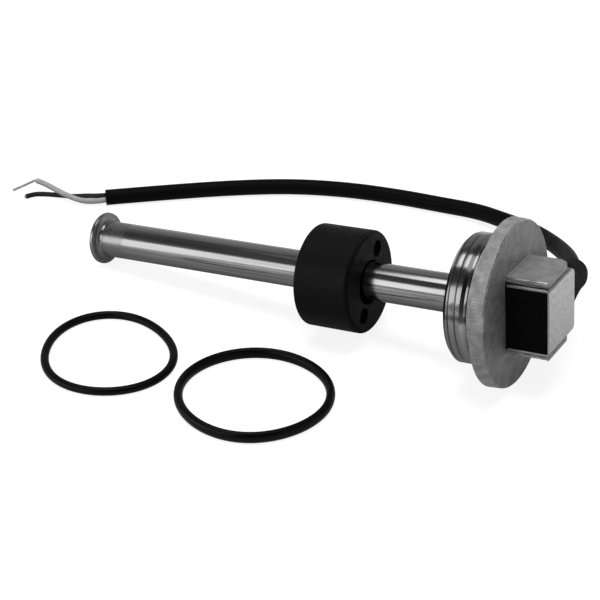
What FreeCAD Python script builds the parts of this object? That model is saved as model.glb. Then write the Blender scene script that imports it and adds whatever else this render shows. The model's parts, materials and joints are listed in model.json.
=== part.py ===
import FreeCAD, Part
import math
import os

# A tank level sender that lies on a table: a threaded flange head with a folded cover and a potted
# cable exit, a stem tube that holds a string of reed switches, a ring float that slides on the stem,
# a stripped cable and two loose seal rings.
# Every rigid piece is drawn upright on the stem's axis, with z = 0 on the flange's seat and +z away
# from the tank, and is then laid down so that the flange's rim and the end stop's rim touch the table.

Vector = FreeCAD.Vector
tiny = 1e-6
full_turn = 360.0

# Threaded spigot under the flange (G 1 1/4 pipe thread, drawn plain at its crests)
thread_radius = 20.955
spigot_length = 11.6
lead_chamfer = 1.3
collar_length = 4.1
neck_length = 1.5
neck_depth = 1.5

# Flange
flange_radius = 27.0
flange_thickness = 4.75
flange_draft = 0.25
flange_seat_round = 0.3
flange_face_round = 0.5

# Lugs, cover and potting sit this far off the stem's axis, down and towards the cable
box_drop = 0.35
box_offset = 0.83

# Two lugs that stand on the flange and hold the cover between them
lug_thickness = 2.7
lug_width = 19.1
lug_length = 13.85
lug_far_round = 4.5
lug_near_round = 0.6
lug_edge_round = 0.35
lug_root_fillet = 0.5
lug_sink = 1.0

# Folded cover sheet
cover_height = 20.6
cover_width = 21.3
cover_sheet = 1.0
cover_bend_radius = 1.3
cover_proud = 0.4
cover_leg_gap = 0.7
cover_far_round = 3.0
cover_near_round = 0.3
cover_clearance = 0.03

# Potting compound under the cover
potting_recess = 0.3

# Cable boot on the potting's far side
boot_base_across = 13.0
boot_base_height = 14.7
boot_base_corner = 4.2
boot_root_across = 10.4
boot_root_height = 13.5
boot_root_share = 0.3
boot_waist_across = 10.2
boot_waist_height = 10.9
boot_waist_share = 0.58
boot_shoulder_across = 10.1
boot_shoulder_height = 10.6
boot_shoulder_share = 0.8
boot_tip_radius = 3.7
boot_flat = 0.1
boot_base_pull_share = 0.77
boot_tip_pull_share = 0.19
boot_loft_degree = 3

# Stem tube
tube_radius = 6.35
tube_wall = 0.9
tube_seat_depth = 1.5
wire_hole_radius = 4.0

# End stop, a turned plug with a rounded disc
stem_length = 154.6
disc_radius = 9.2
disc_thickness = 1.8
disc_round = 0.7
disc_fillet = 1.6
stub_length = 10.6
plug_length = 6.0
plug_clearance = 0.05
plug_chamfer = 0.5

# Float, with its head-side face this far below the seat at rest
float_radius = 17.15
float_length = 19.0
float_rest = 47.3
float_bore_radius = 7.45
float_hang_gap = 0.4
float_bottom_round = 0.6
float_rim = 1.3
float_rim_round = 0.5
float_ledge = 0.9
float_floor = 1.8
float_sleeve_wall = 1.4
float_bore_chamfer = 0.25
cap_thickness = 2.8
cap_clearance = 0.05
cap_groove = 0.45
cap_proud = 0.6
spanner_hole_radius = 2.8
spanner_hole_depth = 1.5
spanner_hole_place = 11.3
spanner_hole_angle = 144.0

# Ring magnet in the float
magnet_wall = 4.0
magnet_height = 6.0
magnet_clearance = 0.1

# Reed board in the stem
board_width = 10.2
board_thickness = 1.0
board_foot_gap = 0.3
board_top_drop = 8.0
reed_pitch = 17.0
reed_margin = 9.0
capsule_radius = 1.0
capsule_length = 9.0
capsule_stand = 0.15
capsule_end_round = 0.7
reed_lead_radius = 0.25
reed_lead_reach = 1.6
resistor_length = 3.2
resistor_width = 1.6
resistor_height = 0.55

# Two lead wires from the board to the cable
wire_radius = 0.6
wire_half_gap = 2.5
wire_foot = 4.0
wire_bend_radius = 3.0
wire_stand = 0.02

# Loose seal rings of soft rubber, a little out of round, with their places measured from below the seat
small_ring_radius = 21.84
small_ring_width = 2.76
small_ring_height = 2.78
small_ring_place = (-116.45, -51.35)
small_ring_oval = 1.21
small_ring_oval_angle = -32.9
small_ring_egg = 0.52
small_ring_egg_angle = 8.0
small_ring_pinch = 0.06
small_ring_pinch_angle = -16.0
large_ring_radius = 23.37
large_ring_width = 2.88
large_ring_height = 3.8
large_ring_place = (-62.2, -49.35)
large_ring_oval = 0.6
large_ring_oval_angle = 19.0
large_ring_egg = 0.14
large_ring_egg_angle = 41.0
large_ring_pinch = 0.14
large_ring_pinch_angle = 18.5
oval_lobes = 2
egg_lobes = 3
pinch_lobes = 4
ring_points = 24

# Roll of the head about the stem, as it comes to rest against its cable
head_roll = -5.3

# Cable and cores, with routes chosen by hand in the table's frame below the seat
cable_radius = 3.0
core_radius = 0.95
strand_radius = 0.45
arc_share = 0.45
cable_route = [
    (10.3, 34.8, 21.9),
    (6.6, 45.2, 19.2),
    (-3.5, 62.3, 13.1),
    (-19.6, 78.2, 8.0),
    (-33.2, 86.0, 4.6),
    (-45.8, 89.9, 3.6),
    (-60.0, 89.3, 3.0),
    (-77.0, 87.6, 3.0),
    (-97.0, 83.8, 3.0),
    (-117.0, 76.8, 3.0),
    (-136.0, 65.8, 3.0),
    (-158.0, 50.0, 3.0),
    (-177.75, 34.52, 3.0),
]
white_core_route = [
    (-177.23, 33.85, 2.45),
    (-179.8, 31.9, 2.1),
    (-185.6, 29.9, 1.6),
    (-192.4, 29.2, 2.8),
    (-199.0, 30.3, 3.5),
    (-204.4, 31.3, 4.05),
    (-208.2, 31.5, 4.3),
]
white_strand_route = [
    (-208.2, 31.5, 4.3),
    (-209.0, 31.54, 4.35),
    (-210.3, 30.6, 3.7),
    (-213.0, 28.6, 2.2),
    (-216.5, 26.4, 0.5),
]
black_core_route = [
    (-178.27, 35.19, 3.55),
    (-180.6, 33.6, 3.4),
    (-185.9, 32.9, 2.5),
    (-191.5, 32.0, 1.2),
    (-197.4, 30.7, 0.95),
    (-203.0, 28.8, 0.95),
    (-206.8, 26.7, 0.95),
    (-208.1, 23.8, 0.95),
]
black_strand_route = [
    (-208.1, 23.8, 0.95),
    (-208.35, 23.25, 0.95),
]

# Places that several pieces share
neck_radius = thread_radius - neck_depth
flange_face = flange_thickness
lug_end = flange_face + lug_length
cover_end = lug_end + cover_proud
cover_half = cover_height / 2
lug_inner = cover_half + cover_clearance
lug_outer = lug_inner + lug_thickness
cover_leg_foot = flange_face + cover_leg_gap
potting_half = cover_half - cover_sheet
potting_end = cover_end - cover_sheet
potting_width = cover_width - 2 * potting_recess
potting_middle = (flange_face + potting_end) / 2
box_place = Vector(box_drop, box_offset, 0)
boot_base = box_place + Vector(0, potting_width / 2, potting_middle)
tube_inner = tube_radius - tube_wall
stem_bottom = -stem_length
stub_top = stem_bottom + disc_thickness + stub_length
plug_top = stub_top + plug_length
float_top = -float_rest
float_bottom = float_top - float_length
float_drop = float_bore_radius - tube_radius - float_hang_gap
cap_top = float_top + cap_proud
cap_bottom = float_top - cap_thickness
sleeve_radius = float_bore_radius + float_sleeve_wall
board_bottom = plug_top + board_foot_gap
board_top = tube_seat_depth - board_top_drop
board_face = board_thickness / 2


def axial(radius, height):
    """A point of a turned piece's half section."""
    return Vector(radius, 0, height)


def plan(x, y):
    """A point of an outline seen along the stem."""
    return Vector(x, y, 0)


def side(y, height):
    """A point of an outline seen along the x axis."""
    return Vector(0, y, height)


def tangent_corner(before, corner, after, radius):
    """Start, middle and end of the arc that rounds a corner."""
    to_before = (before - corner).normalize()
    to_after = (after - corner).normalize()
    half_angle = to_before.getAngle(to_after) / 2
    bisector = (to_before + to_after).normalize()
    reach = radius / math.tan(half_angle)
    middle = corner + bisector * (radius / math.sin(half_angle) - radius)
    return corner + to_before * reach, middle, corner + to_after * reach


def outline(corners, plane):
    """Closed wire through corners (a, b, rounding)."""
    points = [plane(a, b) for a, b, rounding in corners]
    stretches = []
    for index, (a, b, rounding) in enumerate(corners):
        corner = points[index]
        after = points[(index + 1) % len(points)]
        if rounding > tiny:
            stretches.append(tangent_corner(points[index - 1], corner, after, rounding))
        else:
            stretches.append((corner, corner, corner))
    edges = []
    for index, (start, middle, end) in enumerate(stretches):
        next_start = stretches[(index + 1) % len(stretches)][0]
        if start.distanceToPoint(end) > tiny:
            edges.append(Part.Arc(start, middle, end).toShape())
        if end.distanceToPoint(next_start) > tiny:
            edges.append(Part.LineSegment(end, next_start).toShape())
    return Part.Wire(edges)


def turned(corners):
    """Solid of revolution about the stem's axis."""
    section = Part.Face(outline(corners, axial))
    return section.revolve(Vector(0, 0, 0), Vector(0, 0, 1), full_turn)


def slab(corners, plane, thickness):
    """Outline thickened evenly to both sides of its plane."""
    wire = outline(corners, plane)
    face = Part.Face(wire)
    normal = plane(1, 0).cross(plane(0, 1)).normalize()
    face.translate(normal * (-thickness / 2))
    return face.extrude(normal * thickness)


def off_axis(shape):
    """The shape moved from the stem's axis to the box's own middle."""
    shape.translate(box_place)
    return shape


def lug():
    """Lug on the +x side, with a filleted root and rounded corners."""
    flare = lug_outer + 2 * lug_root_fillet
    bottom = flange_face - lug_sink
    section = slab([
        (lug_inner, bottom, 0),
        (flare, bottom, 0),
        (flare, flange_face, 0),
        (lug_outer, flange_face, lug_root_fillet),
        (lug_outer, lug_end, lug_edge_round),
        (lug_inner, lug_end, lug_edge_round),
    ], axial, lug_width)
    half_width = lug_width / 2
    face_outline = slab([
        (-half_width, bottom, 0),
        (half_width, bottom, 0),
        (half_width, lug_end, lug_far_round),
        (-half_width, lug_end, lug_near_round),
    ], side, 4 * lug_outer)
    return section.common(face_outline)


def head_plug():
    """Cast flange with its threaded spigot, wire hole and two lugs."""
    body = turned([
        (tube_radius, -spigot_length, 0),
        (thread_radius - lead_chamfer, -spigot_length, 0),
        (thread_radius, -spigot_length + lead_chamfer, 0),
        (thread_radius, -collar_length - neck_length, 0),
        (neck_radius, -collar_length - neck_length, 0),
        (neck_radius, -collar_length, 0),
        (thread_radius, -collar_length, 0),
        (thread_radius, 0, 0),
        (flange_radius, 0, flange_seat_round),
        (flange_radius - flange_draft, flange_face, flange_face_round),
        (wire_hole_radius, flange_face, 0),
        (wire_hole_radius, tube_seat_depth, 0),
        (tube_radius, tube_seat_depth, 0),
    ])
    right = lug()
    left = right.mirror(Vector(0, 0, 0), Vector(1, 0, 0))
    lugs = [off_axis(right), off_axis(left)]
    return body.fuse(lugs).removeSplitter()


def cover_plate():
    """Sheet folded into a U over the potting, with ground corners on its far side."""
    inner_bend = cover_bend_radius - cover_sheet
    channel = slab([
        (-cover_half, cover_leg_foot, 0),
        (-cover_half, cover_end, cover_bend_radius),
        (cover_half, cover_end, cover_bend_radius),
        (cover_half, cover_leg_foot, 0),
        (potting_half, cover_leg_foot, 0),
        (potting_half, potting_end, inner_bend),
        (-potting_half, potting_end, inner_bend),
        (-potting_half, cover_leg_foot, 0),
    ], axial, cover_width)
    half_width = cover_width / 2
    blank = slab([
        (-cover_half, -half_width, cover_near_round),
        (cover_half, -half_width, cover_near_round),
        (cover_half, half_width, cover_far_round),
        (-cover_half, half_width, cover_far_round),
    ], plan, 2 * cover_end + cover_height)
    return off_axis(channel.common(blank))


def potting_block(wires):
    """Compound that fills the cover and the wire hole, around the lead wires."""
    inner_bend = cover_bend_radius - cover_sheet
    block = slab([
        (-cover_half, flange_face, 0),
        (-cover_half, cover_leg_foot, 0),
        (-potting_half, cover_leg_foot, 0),
        (-potting_half, potting_end, inner_bend),
        (potting_half, potting_end, inner_bend),
        (potting_half, cover_leg_foot, 0),
        (cover_half, cover_leg_foot, 0),
        (cover_half, flange_face, 0),
    ], axial, potting_width)
    plug = Part.makeCylinder(wire_hole_radius, flange_face - tube_seat_depth, Vector(0, 0, tube_seat_depth))
    return off_axis(block).fuse(plug).removeSplitter().cut(wires)


def stem_tube():
    """Tube that carries the float and holds the reed board."""
    length = tube_seat_depth - stub_top
    foot = Vector(0, 0, stub_top)
    return Part.makeCylinder(tube_radius, length, foot).cut(Part.makeCylinder(tube_inner, length, foot))


def end_stop():
    """Turned plug that closes the tube, with the disc that stops the float."""
    plug_radius = tube_inner - plug_clearance
    return turned([
        (0, stem_bottom, 0),
        (disc_radius, stem_bottom, disc_round),
        (disc_radius, stem_bottom + disc_thickness, disc_round),
        (tube_radius, stem_bottom + disc_thickness, disc_fillet),
        (tube_radius, stub_top, 0),
        (plug_radius, stub_top, 0),
        (plug_radius, plug_top - plug_chamfer, 0),
        (plug_radius - plug_chamfer, plug_top, 0),
        (0, plug_top, 0),
    ])


def float_body():
    """Cup of the float, with the sleeve that rides on the stem."""
    cap_seat = float_radius - float_rim
    wall = cap_seat - float_ledge
    floor = float_bottom + float_floor
    return turned([
        (float_bore_radius + float_bore_chamfer, float_bottom, 0),
        (float_radius, float_bottom, float_bottom_round),
        (float_radius, float_top, float_rim_round),
        (cap_seat, float_top, 0),
        (cap_seat, cap_bottom, 0),
        (wall, cap_bottom, 0),
        (wall, floor, 0),
        (sleeve_radius, floor, 0),
        (sleeve_radius, cap_bottom, 0),
        (float_bore_radius, cap_bottom, 0),
        (float_bore_radius, float_bottom + float_bore_chamfer, 0),
    ])


def float_cap():
    """Cap bonded into the float's rim, with two blind holes for a pin spanner."""
    edge = float_radius - float_rim - cap_clearance
    cap = turned([
        (float_bore_radius, cap_bottom, 0),
        (edge, cap_bottom, 0),
        (edge, cap_top - cap_groove, 0),
        (edge - cap_groove, cap_top, 0),
        (float_bore_radius + float_bore_chamfer, cap_top, 0),
        (float_bore_radius, cap_top - float_bore_chamfer, 0),
    ])
    for turn in (0, full_turn / 2):
        angle = math.radians(spanner_hole_angle + turn)
        place = Vector(math.cos(angle), math.sin(angle), 0) * spanner_hole_place
        foot = place + Vector(0, 0, cap_top - spanner_hole_depth)
        cap = cap.cut(Part.makeCylinder(spanner_hole_radius, 2 * spanner_hole_depth, foot))
    return cap


def float_magnet():
    """Ring magnet that rests on the float's floor around the sleeve."""
    inner = sleeve_radius + magnet_clearance
    foot = Vector(0, 0, float_bottom + float_floor)
    outer_rod = Part.makeCylinder(inner + magnet_wall, magnet_height, foot)
    return outer_rod.cut(Part.makeCylinder(inner, magnet_height, foot))


def reed_heights():
    """Middle heights of the reed switches along the board."""
    room = board_top - wire_foot - board_bottom - 2 * reed_margin
    count = int(room / reed_pitch) + 1
    return [board_bottom + reed_margin + index * reed_pitch for index in range(count)]


def reed_board():
    """Circuit board strip that slides in the tube and stands on the end stop's plug."""
    corner = Vector(-board_width / 2, -board_face, board_bottom)
    return Part.makeBox(board_width, board_thickness, board_top - board_bottom, corner)


def reed_capsules():
    """Glass capsules of the reed switches, one every pitch."""
    axis_offset = board_face + capsule_stand + capsule_radius
    capsules = []
    for height in reed_heights():
        capsule = turned([
            (0, -capsule_length / 2, 0),
            (capsule_radius, -capsule_length / 2, capsule_end_round),
            (capsule_radius, capsule_length / 2, capsule_end_round),
            (0, capsule_length / 2, 0),
        ])
        capsule.translate(Vector(0, axis_offset, height))
        capsules.append(capsule)
    return Part.makeCompound(capsules)


def reed_leads():
    """Bent leads that stand each capsule on the board."""
    axis_offset = board_face + capsule_stand + capsule_radius
    leads = []
    for height in reed_heights():
        for direction in (-1, 1):
            root = Vector(0, axis_offset, height + direction * capsule_length / 2)
            reach = Vector(0, 0, direction * reed_lead_reach)
            along = Part.makeCylinder(reed_lead_radius, reed_lead_reach, root, reach)
            elbow = Part.makeSphere(reed_lead_radius, root + reach)
            drop = Part.makeCylinder(reed_lead_radius, axis_offset - board_face, root + reach, Vector(0, -1, 0))
            leads.append(along.fuse([elbow, drop]).removeSplitter())
    return Part.makeCompound(leads)


def ladder_resistors():
    """Chip resistors on the back of the board, one beside each reed switch."""
    chips = []
    for height in reed_heights():
        corner = Vector(-resistor_width / 2, -board_face - resistor_height, height - resistor_length / 2)
        chips.append(Part.makeBox(resistor_width, resistor_height, resistor_length, corner))
    return Part.makeCompound(chips)


def lead_wires():
    """Two insulated wires from the board's back up the wire hole and across to the cable boot."""
    back = -board_face - wire_radius - wire_stand
    wires = []
    for direction in (-1, 1):
        x = direction * wire_half_gap
        foot = Vector(x, back, board_top - wire_foot)
        corner = Vector(x, back, potting_middle)
        end = Vector(x, boot_base.y, potting_middle)
        start, middle, finish = tangent_corner(foot, corner, end, wire_bend_radius)
        path = Part.Wire([
            Part.LineSegment(foot, start).toShape(),
            Part.Arc(start, middle, finish).toShape(),
            Part.LineSegment(finish, end).toShape(),
        ])
        section = Part.Wire(Part.makeCircle(wire_radius, foot, Vector(0, 0, 1)))
        wires.append(path.makePipeShell([section], True, False))
    return Part.makeCompound(wires)


def boot_section(centre, across, height, half_across, half_height, corner):
    """Rounded section of the boot, with flats and corners in the same order at every place."""
    def plane(a, b):
        return centre + across * a + height * b
    return outline([
        (-half_across, -half_height, corner),
        (half_across, -half_height, corner),
        (half_across, half_height, corner),
        (-half_across, half_height, corner),
    ], plane)


def cable_boot(lay):
    """Moulded boot that bends from the potting's far side to the cable's first point."""
    base = lay.multVec(boot_base)
    outward = lay.Rotation.multVec(Vector(0, 1, 0))
    across = lay.Rotation.multVec(Vector(0, 0, 1))
    tip = Vector(*cable_route[0])
    tip_direction = (Vector(*cable_route[1]) - tip).normalize()
    reach = base.distanceToPoint(tip)
    base_pull = outward * (boot_base_pull_share * reach)
    tip_pull = tip_direction * (boot_tip_pull_share * reach)
    knots = [base, base + base_pull, tip - tip_pull, tip]
    spine = Part.BezierCurve()
    spine.setPoles(knots)
    round_places = [
        (boot_root_share, boot_root_across / 2, boot_root_height / 2),
        (boot_waist_share, boot_waist_across / 2, boot_waist_height / 2),
        (boot_shoulder_share, boot_shoulder_across / 2, boot_shoulder_height / 2),
        (1.0, boot_tip_radius, boot_tip_radius),
    ]
    half_across = boot_base_across / 2
    half_height = boot_base_height / 2
    sections = [boot_section(base, across, outward.cross(across), half_across, half_height, boot_base_corner)]
    for place, half_across, half_height in round_places:
        direction = Vector(*spine.tangent(place)[0])
        level = (across - direction * across.dot(direction)).normalize()
        corner = min(half_across, half_height) - boot_flat
        sections.append(boot_section(spine.value(place), level, direction.cross(level), half_across, half_height,
                                     corner))
    return Part.makeLoft(sections, True, False, False, boot_loft_degree)


def cord_path(points):
    """Straight runs joined by tangent arcs, and the arcs' radii."""
    edges = []
    radii = []
    last = points[0]
    for before, corner, after in zip(points, points[1:], points[2:]):
        reach = arc_share * min(before.distanceToPoint(corner), corner.distanceToPoint(after))
        half_angle = (before - corner).getAngle(after - corner) / 2
        radius = reach * math.tan(half_angle)
        start, middle, end = tangent_corner(before, corner, after, radius)
        edges.append(Part.LineSegment(last, start).toShape())
        edges.append(Part.Arc(start, middle, end).toShape())
        radii.append(round(radius, 1))
        last = end
    edges.append(Part.LineSegment(last, points[-1]).toShape())
    return Part.Wire(edges), radii


def cord_tube(name, route, radius):
    """Round cord along a route, with its radii, length and volume printed."""
    points = [Vector(*point) for point in route]
    path, radii = cord_path(points)
    section = Part.Wire(Part.makeCircle(radius, points[0], points[1] - points[0]))
    tube = path.makePipeShell([section], True, False)
    expected = math.pi * radius ** 2 * path.Length
    print(name, "length", round(path.Length, 2), "radii", radii, "volume ratio", round(tube.Volume / expected, 4))
    return tube


def seal_ring(radius, width, height, place, oval, oval_angle, egg, egg_angle, pinch, pinch_angle):
    """Loose soft ring that lies on the table, a little out of round."""
    points = []
    for index in range(ring_points):
        angle = full_turn * index / ring_points
        oval_part = oval * math.cos(math.radians(oval_lobes * (angle - oval_angle)))
        egg_part = egg * math.cos(math.radians(egg_lobes * (angle - egg_angle)))
        pinch_part = pinch * math.cos(math.radians(pinch_lobes * (angle - pinch_angle)))
        reach = radius + oval_part + egg_part + pinch_part
        ray = Vector(math.cos(math.radians(angle)), math.sin(math.radians(angle)), 0)
        points.append(Vector(place[0], place[1], height / 2) + ray * reach)
    curve = Part.BSplineCurve()
    curve.interpolate(points, True)
    start = curve.FirstParameter
    middle = curve.value(start)
    upward = Vector(0, 0, 1)
    sideways = Vector(*curve.tangent(start)[0]).cross(upward)
    section = Part.Ellipse(middle + upward * (height / 2), middle + sideways * (width / 2), middle)
    return Part.Wire(curve.toShape()).makePipeShell([Part.Wire(section.toShape())], True, False)


def lay_down_angle():
    """Lean of the stem when the flange's rim and the end stop's rim both touch the table."""
    rise = (flange_radius - flange_seat_round) - (disc_radius - disc_round)
    span = flange_seat_round + stem_length - disc_round
    return math.atan2(rise, span) + math.asin((flange_seat_round - disc_round) / math.hypot(rise, span))


def laid_down(shape, placement):
    """The shape moved from the upright drawing to the table."""
    shape.Placement = placement.multiply(shape.Placement)
    return shape


lean = lay_down_angle()
seat_height = flange_seat_round * (1 - math.sin(lean)) + (flange_radius - flange_seat_round) * math.cos(lean)
lying = FreeCAD.Placement(
    Vector(0, 0, seat_height),
    FreeCAD.Rotation(Vector(0, 1, 0), full_turn / 4 - math.degrees(lean)),
)
rolled = lying.multiply(FreeCAD.Placement(Vector(), FreeCAD.Rotation(Vector(0, 0, 1), head_roll)))
hanging = lying.multiply(FreeCAD.Placement(Vector(float_drop, 0, 0), FreeCAD.Rotation()))

wires = lead_wires()
nodes = {
    "head_plug": laid_down(head_plug(), rolled),
    "cover_plate": laid_down(cover_plate(), rolled),
    "potting_block": laid_down(potting_block(wires), rolled),
    "cable_boot": cable_boot(rolled),
    "stem_tube": laid_down(stem_tube(), rolled),
    "end_stop": laid_down(end_stop(), rolled),
    "reed_board": laid_down(reed_board(), rolled),
    "reed_capsules": laid_down(reed_capsules(), rolled),
    "reed_leads": laid_down(reed_leads(), rolled),
    "ladder_resistors": laid_down(ladder_resistors(), rolled),
    "lead_wires": laid_down(wires, rolled),
    "float_body": laid_down(float_body(), hanging),
    "float_cap": laid_down(float_cap(), hanging),
    "float_magnet": laid_down(float_magnet(), hanging),
    "seal_ring_small": seal_ring(
        small_ring_radius, small_ring_width, small_ring_height, small_ring_place,
        small_ring_oval, small_ring_oval_angle, small_ring_egg, small_ring_egg_angle,
        small_ring_pinch, small_ring_pinch_angle,
    ),
    "seal_ring_large": seal_ring(
        large_ring_radius, large_ring_width, large_ring_height, large_ring_place,
        large_ring_oval, large_ring_oval_angle, large_ring_egg, large_ring_egg_angle,
        large_ring_pinch, large_ring_pinch_angle,
    ),
}
cord_nodes = {
    "cable": cord_tube("cable", cable_route, cable_radius),
    "white_core": cord_tube("white_core", white_core_route, core_radius),
    "white_core_strands": cord_tube("white_core_strands", white_strand_route, strand_radius),
    "black_core": cord_tube("black_core", black_core_route, core_radius),
    "black_core_strands": cord_tube("black_core_strands", black_strand_route, strand_radius),
}

# The origin is the middle of the footprint of everything but the cable, on the table
box = FreeCAD.BoundBox()
for shape in nodes.values():
    box.add(shape.optimalBoundingBox(False))
to_origin = Vector(-box.Center.x, -box.Center.y, -box.ZMin)

os.makedirs("parts", exist_ok=True)
for name, shape in {**nodes, **cord_nodes}.items():
    shape.translate(to_origin)
    shape.exportStep(os.path.join("parts", name + ".step"))

axis = lying.Rotation.multVec(Vector(0, 0, 1))
print("lean", round(math.degrees(lean), 3), "seat centre", lying.Base + to_origin, "stem axis", axis)
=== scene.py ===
# %% [markdown]
# # A tank level sender, dressed for a photograph
# A level sender screws into the top of a tank. A ring float rides up and down its stem, and a magnet in the
# float closes one reed switch after another inside the tube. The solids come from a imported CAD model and
# stay where they are. This lesson adds what plain solids can't show: the cut thread, the burred edges, the
# twisted strands, the smooth cord, and the finish of steel, rubber and plastic.

# %% Load the solids
import json
import math
import bmesh
import bpy
from mathutils import Matrix, Quaternion, Vector


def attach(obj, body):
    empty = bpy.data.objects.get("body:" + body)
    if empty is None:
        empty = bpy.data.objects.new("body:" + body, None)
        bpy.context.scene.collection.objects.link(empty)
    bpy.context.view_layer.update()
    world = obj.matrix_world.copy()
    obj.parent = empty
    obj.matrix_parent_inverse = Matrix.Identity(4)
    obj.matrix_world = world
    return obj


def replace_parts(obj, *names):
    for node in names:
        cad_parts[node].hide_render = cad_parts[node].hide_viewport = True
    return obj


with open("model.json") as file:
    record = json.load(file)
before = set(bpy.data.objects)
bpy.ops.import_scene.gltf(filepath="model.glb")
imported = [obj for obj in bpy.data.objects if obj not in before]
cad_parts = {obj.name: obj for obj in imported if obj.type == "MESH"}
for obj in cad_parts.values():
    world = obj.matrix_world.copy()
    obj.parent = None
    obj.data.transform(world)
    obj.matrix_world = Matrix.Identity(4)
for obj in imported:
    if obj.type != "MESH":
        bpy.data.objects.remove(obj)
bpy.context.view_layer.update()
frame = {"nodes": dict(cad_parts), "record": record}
nodes = frame["nodes"]

# %% [markdown]
# ## Where the stem is
# Everything on a sender is measured along its stem, so a frame on the stem is the handiest tool to have.
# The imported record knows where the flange's seat is and which way it faces. A matrix made from that turns a
# size along the stem, such as "4 mm below the seat", into a place in the scene, and its inverse turns a
# place back. The head is rolled a little about the stem, because it leans on its cable.

# %% Frame on the stem
mm = 0.001
head_roll = math.radians(-5.3)
mounts = {mount["name"]: mount for mount in frame["record"]["mounts"]}
stem_axis = -Vector(mounts["flange_seat"]["axis"])
spigot_place = Vector(mounts["thread_spigot"]["pos_m"])
seat_place = Vector(mounts["flange_seat"]["pos_m"])
seat_centre = spigot_place + stem_axis * (seat_place - spigot_place).dot(stem_axis)
table_below_seat = Vector((seat_centre.x, seat_centre.y, 0.0))

cable_side = Vector((0.0, 1.0, 0.0))
downward = cable_side.cross(stem_axis)
stem_turn = Matrix((downward, cable_side, stem_axis)).transposed().to_4x4()
stem_frame = Matrix.Translation(seat_centre) @ stem_turn @ Matrix.Rotation(head_roll, 4, "Z")
to_stem = stem_frame.inverted()
print("seat centre:", seat_centre, "lean in degrees:", round(math.degrees(math.asin(stem_axis.z)), 2))

# %% [markdown]
# ## The camera
# A photograph can be matched by eye, or by solving for the camera that puts known circles where the picture
# has them. The second way was used here: the flange, the tube, the float and the thread are all circles
# about one line. It gave a short telephoto lens that looks down at about 32 degrees from the head's side.

# %% Camera
camera_from_seat = Vector((0.14600, -0.38790, 0.28458))
camera_azimuth = math.radians(29.442)
camera_elevation = math.radians(32.013)
camera_roll = math.radians(-0.830)
camera_lens = 92.775
camera_sensor = 36.0


def aim(azimuth, elevation, roll):
    """Rotation of a camera that looks down from an azimuth and elevation, with its horizon rolled."""
    across = Vector((math.cos(azimuth), math.sin(azimuth), 0.0))
    back = Vector((math.sin(azimuth) * math.cos(elevation), -math.cos(azimuth) * math.cos(elevation),
                   math.sin(elevation)))
    level = Matrix((across, back.cross(across), back)).transposed()
    return (level @ Matrix.Rotation(roll, 3, "Z")).to_4x4()


camera = bpy.data.objects.new("camera", bpy.data.cameras.new("camera"))
camera.data.lens = camera_lens
camera.data.sensor_width = camera_sensor
camera.matrix_world = Matrix.Translation(table_below_seat + camera_from_seat) @ aim(
    camera_azimuth, camera_elevation, camera_roll)
bpy.context.scene.collection.objects.link(camera)
bpy.context.scene.camera = camera
print("camera at", camera.location)

# %% [markdown]
# ## The cable
# A cable is a round section swept along a line, and Blender's curves do just that with a bevel. A NURBS
# curve of order three only needs a few control points and never kinks. Each point carries the cable's
# radius, and the bevel is one metre times that: a curve's box grows by its points' radius, so small ones
# keep the box true. The cable falls from the boot to the table, swings round behind the stem and ends where
# its jacket is stripped.

# %% Cable
cable_radius = 3.0 * mm
cable_route = [
    (0.0103, 0.0348, 0.0219),
    (0.0066, 0.0452, 0.0192),
    (-0.0035, 0.0623, 0.0131),
    (-0.0196, 0.0782, 0.0080),
    (-0.0332, 0.0860, 0.0046),
    (-0.0458, 0.0899, 0.0036),
    (-0.0600, 0.0893, 0.0030),
    (-0.0770, 0.0876, 0.0030),
    (-0.0970, 0.0838, 0.0030),
    (-0.1170, 0.0768, 0.0030),
    (-0.1360, 0.0658, 0.0030),
    (-0.1580, 0.0500, 0.0030),
    (-0.17775, 0.03452, 0.0030),
]
curve_order = 3
curve_steps = 12
section_unit = 1.0
cord_section_steps = 8


def smooth_line(name, route, radius=0.0):
    """Curve with control points that are measured on the table from below the seat."""
    curve = bpy.data.curves.new(name, "CURVE")
    curve.dimensions = "3D"
    spline = curve.splines.new("NURBS")
    spline.points.add(len(route) - 1)
    for point, place in zip(spline.points, route):
        point.co = (*(table_below_seat + Vector(place)), 1.0)
        point.radius = radius
    spline.order_u = curve_order
    spline.use_endpoint_u = True
    spline.resolution_u = curve_steps
    line = bpy.data.objects.new(name, curve)
    bpy.context.scene.collection.objects.link(line)
    return line


def make_round(line, section_steps):
    """Gives a curve a round section, of the radius that its points carry, and lets it ride on the sender."""
    line.data.bevel_depth = section_unit
    line.data.bevel_resolution = section_steps
    line.data.use_fill_caps = True
    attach(line, "sender")


def swept_cord(name, route, radius):
    """Round cord along a route."""
    cord = smooth_line(name, route, radius)
    make_round(cord, cord_section_steps)
    print(name, "length in mm:", round(cord.data.splines[0].calc_length() / mm, 1))
    return cord


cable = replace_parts(swept_cord("cable_jacket", cable_route, cable_radius), "cable")

# %% [markdown]
# ## The two cores
# Where the jacket is cut back, a white and a black core come out side by side and cross. They are thinner
# cords of the same kind, so the same helper makes them.

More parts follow.
